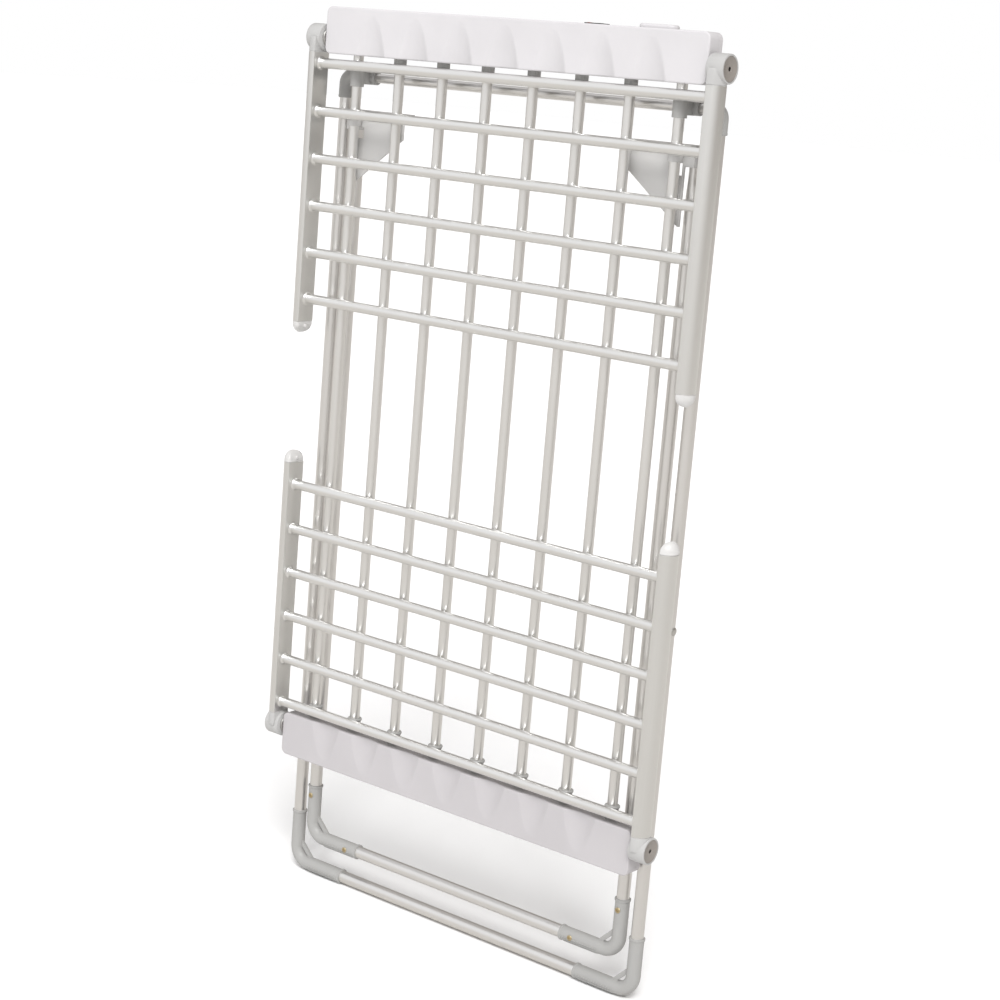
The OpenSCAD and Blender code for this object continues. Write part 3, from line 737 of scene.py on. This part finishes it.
rail_low, rail_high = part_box("upper_rail_right")
RAIL_CORNER = 1.4 * MM
rail_finish = anodised("anodised_rails", "z", (0.80, 0.80, 0.785))
CAP_COLOUR = (0.60, 0.592, 0.58)
cap_finish = plastic("cap_plastic", CAP_COLOUR, 0.34, 1500, 0.00002)
rail_mid_y = (rail_low.y + rail_high.y) / 2
rail_half = (rail_high.y - rail_low.y) / 2
flat_x = rail_high.x - rail_half


def d_outline(inset, corner=RAIL_CORNER):
    """D-shaped section: a flat inner face with small round corners and a half-round outside."""
    r = rail_half - inset
    c = max(min(corner, r * 0.6), 0.05 * MM)
    points = arc(r, -90, 90, 28, (flat_x, rail_mid_y))
    points += arc(c, 90, 180, 6, (rail_low.x + inset + c, rail_mid_y + r - c))
    points += arc(c, 180, 270, 6, (rail_low.x + inset + c, rail_mid_y - r + c))
    return points


def d_rings(levels):
    """Rings of the D section at (height, inset) levels."""
    return [[(x, y, z) for x, y in d_outline(inset)] for z, inset in levels]


rail = Shape().skin(d_rings([(rail_low.z, 0.2 * MM), (rail_low.z + 0.2 * MM, 0),
                             (rail_high.z - 0.2 * MM, 0), (rail_high.z, 0.2 * MM)]))
for wing, flip in (("upper", False), ("lower", True)):
    for side in ("right", "left"):
        shape = rail if side == "right" else rail.mirrored("x")
        if flip:
            shape = shape.mirrored("z", mid_z)
        piece(f"{wing}_{side}_d_rail", shape, rail_finish, f"{wing}_wing",
              [f"{wing}_rail_{side}"])

WELD = 3.4 * MM
for wing in ("upper", "lower"):
    for k in range(1, 7):
        low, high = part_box(f"{wing}_bar_{k}")
        z = (low.z + high.z) / 2
        y = (low.y + high.y) / 2
        weld = [(bar_r + WELD * (1 - math.sin(math.radians(a))),
                 rail_low.x + 0.2 * MM - WELD * (1 - math.cos(math.radians(a))))
                for a in range(0, 91, 15)]
        outer = list(reversed(weld)) + [(bar_r + WELD, rail_low.x + 1.2 * MM)]
        profile = [(r, -d) for r, d in reversed(outer)] + outer
        piece(f"{wing}_cross_bar_{k}", Shape().turned(profile, (0, y, z), "x"),
              level_bar_finish, f"{wing}_wing", [f"{wing}_bar_{k}"])

disc_low, disc_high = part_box("upper_pivot_discs")
disc_r = (disc_high.z - disc_low.z) / 2
fitting_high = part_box("upper_hinge_fittings")[1]
boss_r = disc_r + 2 * MM
BOSS_IN = cover_high.x + 2.3 * MM
boss = Shape().turned([(boss_r - 0.8 * MM, BOSS_IN), (boss_r - 0.2 * MM, BOSS_IN + 0.25 * MM),
                       (boss_r, BOSS_IN + 0.8 * MM),
                       (boss_r, fitting_high.x - 0.9 * MM),
                       (boss_r - 0.25 * MM, fitting_high.x - 0.3 * MM),
                       (boss_r - 0.8 * MM, fitting_high.x)],
                      (0, upper_pivot.y, upper_pivot.z), "x", sides=72)
sleeve = Shape().skin(d_rings([(rail_high.z + 0.15 * MM, 0.3 * MM),
                               (rail_high.z + 0.5 * MM, 0),
                               (upper_pivot.z - 2 * MM, 0),
                               (upper_pivot.z, 0.5 * MM)]))
fitting = fused("fitting", [boss, sleeve], 0)
carved(fitting, tube_cutter(disc_r + 0.1 * MM, fitting_high.x - 1.6 * MM, 0.3,
                            (0, upper_pivot.y, upper_pivot.z), "x"))
carved(fitting, tube_cutter(BOLT_HEAD_R + 1.2 * MM, bolt_high.x - BOLT_HEAD, 0.3,
                            (0, upper_pivot.y, upper_pivot.z), "x"))
soften(fitting, 0.45 * MM, 2, 40)
fittings = mirror_object(fitting)
fittings.name = "upper_fittings"
lower_fittings = bpy.data.objects.new("lower_fittings", fittings.data.copy())
scene.collection.objects.link(lower_fittings)
lower_fittings.data.transform(Matrix.Translation((0, 0, 2 * mid_z)) @
                              Matrix.Scale(-1, 4, (0, 0, 1)))
lower_fittings.data.flip_normals()
fitting_finish = plastic("fitting_plastic", (0.45, 0.446, 0.438), 0.36, 1500, 0.00002)
finished(fittings, fitting_finish, "upper_wing", ["upper_hinge_fittings"])
finished(lower_fittings, fitting_finish, "lower_wing", ["lower_hinge_fittings"])

disc_finish = plastic("disc_plastic", (0.27, 0.245, 0.222), 0.42, 1700, 0.00003)
DISC_T = 1.2 * MM
DISC_BORE = 2.2 * MM
face_x = disc_high.x
disc = Shape().turned([(DISC_BORE, face_x - DISC_T), (disc_r - 0.1 * MM, face_x - DISC_T),
                       (disc_r, face_x - 0.9 * MM), (disc_r, face_x - 0.35 * MM),
                       (disc_r - 0.3 * MM, face_x), (disc_r - 1.3 * MM, face_x),
                       (disc_r - 1.7 * MM, face_x - 0.3 * MM), (3.4 * MM, face_x - 0.3 * MM),
                       (2.5 * MM, face_x - 0.5 * MM), (DISC_BORE, face_x - 0.8 * MM)],
                      (0, upper_pivot.y, upper_pivot.z), "x", True, 64).both_sides()
piece("upper_discs", disc, disc_finish, "upper_wing", ["upper_pivot_discs"])
piece("lower_discs", disc.mirrored("z", mid_z), disc_finish, "lower_wing",
      ["lower_pivot_discs"])

cap_rim = rail_low.z
dome_z = cap_rim - 3.2 * MM
levels = [(cap_rim - 0.1 * MM, 0.6 * MM), (cap_rim - 0.15 * MM, 0.3 * MM),
          (cap_rim - 0.5 * MM, 0), (dome_z, 0)]
dome_h = dome_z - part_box("upper_end_caps")[0].z
for k in range(1, 13):
    t = math.radians(90 * k / 12)
    levels.append((dome_z - dome_h * math.sin(t),
                   rail_half * 0.92 * (1 - math.cos(t))))
cap_rings = []
for z, inset in levels:
    if inset < 2 * MM:
        cap_rings.append([(x, y, z) for x, y in d_outline(inset, 3 * MM)])
        last_inset = inset
        last_ring = cap_rings[-1]
    else:
        middle_x = sum(p[0] for p in last_ring) / len(last_ring)
        share = 1 - (inset - last_inset) / (rail_half - last_inset)
        cap_rings.append([(middle_x + (p[0] - middle_x) * share,
                           rail_mid_y + (p[1] - rail_mid_y) * share, z) for p in last_ring])
cap = Shape().skin(cap_rings)
cap.turned([(1.2 * MM, -1.6 * MM), (1.9 * MM, -1.2 * MM), (2.2 * MM, -0.2 * MM),
            (2.2 * MM, 2 * MM)], (rail_low.x, rail_mid_y, cap_rim - 5 * MM), "x", sides=24)
caps = cap.both_sides()
piece("upper_caps", caps, cap_finish, "upper_wing", ["upper_end_caps"])
piece("lower_caps", caps.mirrored("z", mid_z), cap_finish, "lower_wing",
      ["lower_end_caps"])

# ------------------------------------------------------------------ Legs
# Two nested frames of aluminium tube. Moulded elbows with fine ribs join the side tubes to the
# foot bars, and rivets through both side tubes let the frames cross like scissors.

leg_finish = anodised("anodised_leg_tubes", "z", (0.80, 0.79, 0.775))
foot_bar_finish = anodised("anodised_foot_bars", "x", (0.80, 0.79, 0.775))
LEG_WALL = 1.2 * MM
leg_y = leg_pivot.y
outer_low, outer_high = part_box("outer_leg_tubes")
leg_r = (outer_high.y - outer_low.y) / 2
outer_x = outer_high.x - leg_r
side_tube = Shape().turned(tube_profile(leg_r, LEG_WALL, outer_low.z, outer_high.z),
                           (outer_x, leg_y, 0), "z", True)
piece("outer_side_tubes", side_tube.both_sides(), leg_finish, "outer_leg",
      ["outer_leg_tubes"])
piece("outer_cross_rod", Shape().turned(tube_profile(rod_r, LEG_WALL, rod_low.x, rod_high.x),
                                        (0, leg_y, leg_pivot.z), "x", True),
      foot_bar_finish, "outer_leg", ["outer_leg_rod"])


def bent_sleeve(corner, bend, up, inward, steps=12):
    """A sleeve swept from an upright arm round a bend into a level arm towards the middle."""
    x0, z0 = corner
    path = [((x0, z0 + up), (0, -1))]
    for k in range(steps + 1):
        t = math.radians(90 * k / steps)
        path.append(((x0 - bend + bend * math.cos(t), z0 + bend - bend * math.sin(t)),
                     (-math.sin(t), -math.cos(t))))
    path.append(((x0 - inward, z0), (-1, 0)))
    return path


def sleeve_rings(path, radii, sides=36):
    """Rings square to a path that lies in the leg's plane."""
    rings = []
    for ((x, z), (dx, dz)), radius in zip(path, radii):
        ring = []
        for i in range(sides):
            t = 2 * math.pi * i / sides
            across, depth = radius * math.cos(t), radius * math.sin(t)
            ring.append((x - dz * across, leg_y + depth, z + dx * across))
        rings.append(ring)
    return rings


def elbow_shape(x, z, bend, up, inward, radius, lip, sign=1):
    """An elbow with a rolled lip at both mouths. sign -1 turns it over, for the leg's top."""
    path = bent_sleeve((x, 0), bend, up, inward)
    start, stop = path[0], path[-1]
    mouth = [((x, up - d), (0, -1)) for d in (0.6 * MM, 2.4 * MM, 3.2 * MM)]
    end = [((x - inward + d, 0), (-1, 0)) for d in (3.2 * MM, 2.4 * MM, 0.6 * MM)]
    path = [start] + mouth + path[1:-1] + end + [stop]
    radii = [radius - 0.2 * MM, radius + lip, radius + lip, radius]
    radii += [radius] * (len(path) - 8) + [radius, radius + lip, radius + lip, radius - 0.2 * MM]
    placed = [((px, z + sign * pz), (dx, sign * dz)) for (px, pz), (dx, dz) in path]
    return Shape().skin(sleeve_rings(placed, radii))


ELBOW_UP = 63 * MM
ELBOW_IN = 74 * MM
ELBOW_BEND = 19 * MM
WEB_REACH = 7 * MM
WEB_HALF = 1.5 * MM
RIB_COUNT = 9
RIB_RISE = 0.8 * MM
foot_low, foot_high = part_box("outer_foot_elbows")
outer_foot_z = (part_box("outer_foot_bar")[0].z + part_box("outer_foot_bar")[1].z) / 2
inner_foot_z = (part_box("inner_foot_bar")[0].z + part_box("inner_foot_bar")[1].z) / 2
elbow_r = (foot_high.y - foot_low.y) / 2


def foot_elbow(x, z):
    """A foot elbow: swept sleeve, corner web and fine ribs along the level arm."""
    body_r = elbow_r - RIB_RISE
    shape = elbow_shape(x, z, ELBOW_BEND, ELBOW_UP, ELBOW_IN, body_r, RIB_RISE)
    inner = body_r - 0.5 * MM
    corner = [(x - inner, z + ELBOW_BEND), (x - inner, z + ELBOW_BEND + WEB_REACH),
              (x - ELBOW_BEND - WEB_REACH, z + inner), (x - ELBOW_BEND, z + inner)]
    shape.skin([[(px, leg_y + dy, pz) for px, pz in corner] for dy in (-WEB_HALF, WEB_HALF)])
    for k in range(RIB_COUNT):
        angle = math.radians(-80 + 160 * k / (RIB_COUNT - 1))
        dy, dz = math.sin(angle), -math.cos(angle)
        rings = []
        for px, share in ((x - ELBOW_IN + 5 * MM, 0.2), (x - ELBOW_IN + 7 * MM, 1.0),
                          (x - ELBOW_BEND - 6 * MM, 1.0), (x - ELBOW_BEND - 3 * MM, 0.2)):
            ring = []
            for side, rise in ((-0.6, -0.4 * MM), (-0.4, RIB_RISE * share), (0.4, RIB_RISE * share),
                               (0.6, -0.4 * MM)):
                radius = body_r + rise
                ring.append((px, leg_y + dy * radius - dz * side * MM,
                             z + dz * radius + dy * side * MM))
            rings.append(ring)
        shape.skin(rings)
    return shape


inner_low, inner_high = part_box("inner_leg_tubes")
inner_x = inner_high.x - leg_r
for name, x, z in (("outer", outer_x, outer_foot_z), ("inner", inner_x, inner_foot_z)):
    piece(f"{name}_elbows", foot_elbow(x, z).both_sides(), grey_finish, f"{name}_leg",
          [f"{name}_foot_elbows"])
for name, z in (("outer", outer_foot_z), ("inner", inner_foot_z)):
    low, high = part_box(f"{name}_foot_bar")
    profile = tube_profile(leg_r, LEG_WALL, low.x, high.x)
    piece(f"{name}_foot_rail", Shape().turned(profile, (0, leg_y, z), "x", True),
          foot_bar_finish, f"{name}_leg", [f"{name}_foot_bar"])

TOP_BEND = 9 * MM
TOP_DOWN = 24 * MM
TOP_IN = 15 * MM
TOP_LIP = 0.3 * MM
top_elbow = elbow_shape(outer_x, leg_pivot.z, TOP_BEND, TOP_DOWN, TOP_IN, elbow_r - TOP_LIP,
                        TOP_LIP, -1)
piece("leg_top_elbows", top_elbow.both_sides(), grey_finish, "outer_leg",
      ["outer_leg_top_elbows"])

# The inner leg's tubes are pressed flat at the top, round the bracket's pin
pin = Vector(joints["inner_leg_hinge"]["pos_m"])
TAB_HALF = 4 * MM
TAB_ROUND = 7 * MM
PRESS = 26 * MM
PLAIN = 30 * MM
EASE_START = 14 * MM
EASE_LENGTH = 22 * MM
TIP_MIN = 0.4 * MM
press_span = PLAIN + PRESS + TAB_ROUND
press_levels = [inner_low.z] + [pin.z - PRESS - PLAIN + press_span * k / 29 for k in range(30)]
press_rings = []
for z in press_levels:
    ring = []
    ease = min(max((z - (pin.z - PRESS - EASE_START)) / EASE_LENGTH, 0), 1)
    ease = ease * ease * (3 - 2 * ease)
    half_x = leg_r + (TAB_HALF - leg_r) * ease
    tip = z - pin.z
    half_y = math.sqrt(max(TAB_ROUND ** 2 - tip ** 2, TIP_MIN ** 2)) if tip > 0 else leg_r
    for i in range(40):
        a = 2 * math.pi * i / 40
        ca, sa = math.cos(a), math.sin(a)
        square = 1 - 0.55 * ease
        px = math.copysign(abs(ca) ** square, ca) * half_x
        py = math.copysign(abs(sa) ** square, sa) * half_y
        ring.append((inner_x + px, leg_y + py, z))
    press_rings.append(ring)
inner_tube = Shape().skin(press_rings)
piece("inner_side_tubes", inner_tube.both_sides(), leg_finish, "inner_leg",
      ["inner_leg_tubes"])

cross_low, cross_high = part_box("outer_leg_rivets")
cross_z = (cross_low.z + cross_high.z) / 2
OUTER_GAP_X = outer_x - leg_r - 3.7 * MM


def rivet(x_shank, x_head, sign):
    """A rivet half: a washer in the gap between the tubes and a low round head outside."""
    head_r, head_h = 4.5 * MM, 1.2 * MM
    washer_r, washer_t = 5 * MM, 3.4 * MM
    shank_r = 2.5 * MM
    profile = [(washer_r, x_shank), (washer_r, x_shank + sign * washer_t),
               (shank_r, x_shank + sign * washer_t), (shank_r, x_head - sign * 1.6 * MM),
               (head_r, x_head - sign * head_h)]
    for k in range(1, 6):
        t = math.radians(90 * k / 6)
        profile.append((head_r * math.cos(t) + 0.02 * MM,
                        x_head - sign * head_h * (1 - math.sin(t))))
    return Shape().turned(profile, (0, leg_y, cross_z), "x", sides=32)


inner_gap_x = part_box("inner_leg_rivets")[1].x
piece("outer_crossing_rivets", rivet(OUTER_GAP_X, cross_high.x, 1).both_sides(), zinc,
      "outer_leg", ["outer_leg_rivets"], 30)
piece("inner_crossing_rivets",
      rivet(inner_gap_x, inner_x - leg_r - 1.2 * MM, -1).both_sides(), zinc, "inner_leg",
      ["inner_leg_rivets"], 30)

brass = Finish("yellow_zinc", Metallic=1.0)
brass_tone = brass.noise(500, 4)
brass.feed("Base Color", brass.mix(brass_tone, (0.46, 0.37, 0.22), (0.66, 0.55, 0.34)))
brass.feed("Roughness", 0.3 + brass_tone * 0.2)
elbow_head_y = leg_y - elbow_r + 0.7 * MM
UPRIGHT_MOUTH = 12 * MM
LEVEL_MOUTH = 16 * MM
elbow_places = []
for side in (-1, 1):
    elbow_places.append((side * inner_x, elbow_head_y, inner_foot_z + ELBOW_UP - UPRIGHT_MOUTH))
    elbow_places.append((side * (inner_x - ELBOW_IN + LEVEL_MOUTH), elbow_head_y, inner_foot_z))
elbow_heads = crossed_screws("elbow_screw_heads", elbow_places, 3.2 * MM, 1.0 * MM, 2 * MM,
                             1.4 * MM, -1)
finished(elbow_heads, brass, "inner_leg", ["elbow_screws"], 30)

# ------------------------------------------------------------------ Sliding brackets
# Moulded in light plastic: a sleeve that runs on the outermost bar, a gusset plate behind the
# bars, a flange along its top and two ears that hold the inner leg's pin.

bracket_finish = plastic("bracket_plastic", (0.56, 0.552, 0.54), 0.4, 1500, 0.00002)
bracket_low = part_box("slide_brackets")[0]
GUSSET_REACH = 64 * MM
PIN_R = 2.5 * MM
EYE_R = 8.5 * MM
EAR = 2 * MM
GAP = 0.6 * MM
ear_in = inner_x - TAB_HALF - GAP
ear_out = inner_x + TAB_HALF + GAP
flange_z = pin.z + 11.5 * MM
plate_y = bar_y + bar_r + 2.2 * MM
PLATE = 2.6 * MM
FLANGE = 2 * MM
gusset_x = last_x - GUSSET_REACH
gusset = [(gusset_x, flange_z + 0.5 * MM), (gusset_x, pin.z - 14 * MM),
          (ear_in - EAR, bracket_low.z), (ear_in, bracket_low.z), (ear_in, flange_z + 0.5 * MM)]
plate = Shape().skin([[(x, y, z) for x, z in gusset] for y in (plate_y, plate_y + PLATE)])
flange = block((gusset_x, plate_y, flange_z),
               (ear_out + EAR, leg_y + 5 * MM, flange_z + FLANGE))
runner = Shape().turned([(sleeve_r - 0.2 * MM, -4 * MM), (sleeve_r, -3.4 * MM), (sleeve_r, 13 * MM),
                         (sleeve_r - 0.2 * MM, 13.5 * MM)], (last_x, bar_y, pin.z))
neck = block((last_x - 3 * MM, bar_y, pin.z - 3.5 * MM),
             (last_x + 3 * MM, plate_y + 1 * MM, flange_z + 1 * MM))
bridge = block((ear_in - 0.5 * MM, plate_y, pin.z - 8 * MM),
               (ear_out + 0.5 * MM, plate_y + PLATE, flange_z + 1 * MM))


def ear(x_low):
    """One ear: a round eye on the pin, joined to the plate and the flange."""
    outline = arc(EYE_R, -90, 90, 16, (leg_y, pin.z))
    outline = [(y, z) for y, z in outline if z <= flange_z]
    outline += [(leg_y + 6 * MM, flange_z + 1 * MM), (plate_y, flange_z + 1 * MM),
                (plate_y, pin.z - EYE_R)]
    return Shape().skin([[(x, y, z) for y, z in outline] for x in (x_low, x_low + EAR)])


bracket = fused("bracket", [plate, flange, runner, neck, bridge, ear(ear_in - EAR),
                            ear(ear_out)], 0)
carved(bracket, tube_cutter(bar_r + RUN_FIT, -0.1, 0.05, (last_x, bar_y, pin.z), "z"))
carved(bracket, block((last_x - sleeve_r, plate_y - 1 * MM, pin.z - 17 * MM),
                      (min(last_x + sleeve_r, ear_in - EAR - 0.2 * MM),
                       plate_y + PLATE + 1 * MM, pin.z - 5 * MM)))
carved(bracket, tube_cutter(PIN_R + 0.05 * MM, -0.03, 0.03, (inner_x, leg_y, pin.z), "x"))
soften(bracket, 0.35 * MM, 2, 40)
finished(mirror_object(bracket), bracket_finish, "slide_brackets_body",
         ["slide_brackets"])
pin_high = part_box("bracket_pins")[1]
pin_shape = Shape().turned([(PIN_R - 0.2 * MM, ear_in - EAR), (PIN_R, ear_in - EAR + 0.3 * MM),
                            (PIN_R, ear_out + EAR), (4 * MM, ear_out + EAR + 0.05 * MM),
                            (3.8 * MM, pin_high.x - 0.4 * MM), (2.6 * MM, pin_high.x)],
                           (0, leg_y, pin.z), "x", sides=28).both_sides()
piece("bracket_pin_rivets", pin_shape, zinc, "slide_brackets_body",
      ["bracket_pins"], 30)

# ------------------------------------------------------------------ Switch and cord outlet
# A red rocker switch in a dark frame, and a rounded outlet boss for the mains lead, both on the
# upper housing's top face.

dark_finish = plastic("dark_plastic", (0.03, 0.03, 0.03), 0.35, 1500, 0.00002)
frame_low, frame_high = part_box("switch_body")
sw_x = (frame_low.x + frame_high.x) / 2
sw_y = (frame_low.y + frame_high.y) / 2
face_z = cover_high.z
rim_shape = block((frame_low.x, frame_low.y, face_z), (frame_high.x, frame_high.y, frame_high.z))
body_shape = block((frame_low.x + 1.2 * MM, frame_low.y + 1.2 * MM, frame_low.z),
                   (frame_high.x - 1.2 * MM, frame_high.y - 1.2 * MM, face_z + 0.5 * MM))
switch_frame = fused("switch_frame", [rim_shape, body_shape], 0)
WINDOW_X = 9.4 * MM
WINDOW_Y = 5.5 * MM
carved(switch_frame, block((sw_x - WINDOW_X, sw_y - WINDOW_Y, face_z - 8 * MM),
                           (sw_x + WINDOW_X, sw_y + WINDOW_Y, face_z + 12 * MM)))
soften(switch_frame, 0.35 * MM, 2)
finished(switch_frame, dark_finish, "centre_panel", ["switch_body"])

red_finish = Finish("red_rocker", Roughness=0.18, Coat_Weight=0.4)
glow = red_finish.noise(300, 2)
red_finish.feed("Base Color", red_finish.mix(glow, (0.62, 0.045, 0.025), (0.76, 0.09, 0.05)))
rocker_pivot = Vector(joints["rocker_tilt"]["pos_m"])
ROCKER_TILT = math.radians(7)
ROCKER_HALF = 8.9
ROCKER_SIDE = 5.3
ROCKER_FLAT = 4.9
half_top = [(0, 2.3), (3.5, 2.45), (6.5, 2.75), (ROCKER_HALF, 3.3)]
rocker_outline = [(-ROCKER_HALF, -2.4), (ROCKER_HALF, -2.4)] + list(reversed(half_top))
rocker_outline += [(-x, z) for x, z in half_top[1:]]
rings = []
for y in (-ROCKER_SIDE, -ROCKER_FLAT, ROCKER_FLAT, ROCKER_SIDE):
    squeeze = 0.94 if abs(y) > ROCKER_FLAT else 1.0
    ring = []
    for x, z in rocker_outline:
        px, pz = x * MM * squeeze, z * MM * squeeze
        ring.append((rocker_pivot.x + px * math.cos(ROCKER_TILT) + pz * math.sin(ROCKER_TILT),
                     rocker_pivot.y + y * MM,
                     rocker_pivot.z - px * math.sin(ROCKER_TILT) + pz * math.cos(ROCKER_TILT)))
    rings.append(ring)
piece("rocker_button", Shape().skin(rings), red_finish, "rocker",
      ["switch_rocker"], 30)

outlet_low, outlet_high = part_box("cord_outlet")
outlet = Vector(next(m for m in frame["record"]["mounts"] if m["name"] == "cord_outlet")["pos_m"])
BOSS_HALF_W = (outlet_high.y - outlet_low.y) / 2


def stadium(inset, z):
    """A round-ended outline on the top face."""
    r = BOSS_HALF_W - inset
    points = arc(r, -90, 90, 16, (outlet_high.x - BOSS_HALF_W, outlet.y))
    points += arc(r, 90, 270, 16, (outlet_low.x + BOSS_HALF_W, outlet.y))
    return [(x, y, z) for x, y in points]


BOSS_ROUND = 2.6 * MM
boss_rings = [stadium(0, face_z - 0.2 * MM)]
for k in range(0, 7):
    t = math.radians(90 * k / 6)
    boss_rings.append(stadium(BOSS_ROUND * (1 - math.cos(t)),
                              outlet_high.z - BOSS_ROUND * (1 - math.sin(t))))
outlet_piece = fused("outlet_boss", [Shape().skin(boss_rings),
                                     Shape().turned([(5.6 * MM, outlet_low.z), (5.6 * MM, face_z)],
                                                    (outlet.x, outlet.y, 0))], 0)
carved(outlet_piece, tube_cutter(3.6 * MM, 0.9, 1.2, (outlet.x, outlet.y, 0), "z"))
soften(outlet_piece, 0.4 * MM, 2, 50)
finished(outlet_piece, housing_finish, "centre_panel", ["cord_outlet"])

# ------------------------------------------------------------------ Inside pieces
# The heater wires, terminal block and thermal cut-out are closed in by bars and housing; they
# keep their modelled solids and take a plain but textured finish.

wire_finish = plastic("wire_sleeve", (0.28, 0.22, 0.18), 0.5, 900, 0.00002)
cream_finish = plastic("terminal_plastic", (0.78, 0.74, 0.62), 0.4, 900, 0.00002)
phenolic_finish = plastic("thermostat_case", (0.08, 0.06, 0.05), 0.4, 900, 0.00002)
for node, finish in (("centre_heater_wires", wire_finish), ("upper_heater_wires", wire_finish),
                     ("lower_heater_wires", wire_finish), ("terminal_block", cream_finish),
                     ("thermal_cutout", phenolic_finish)):
    materials = frame["nodes"][node].data.materials
    materials.clear()
    materials.append(finish.material)
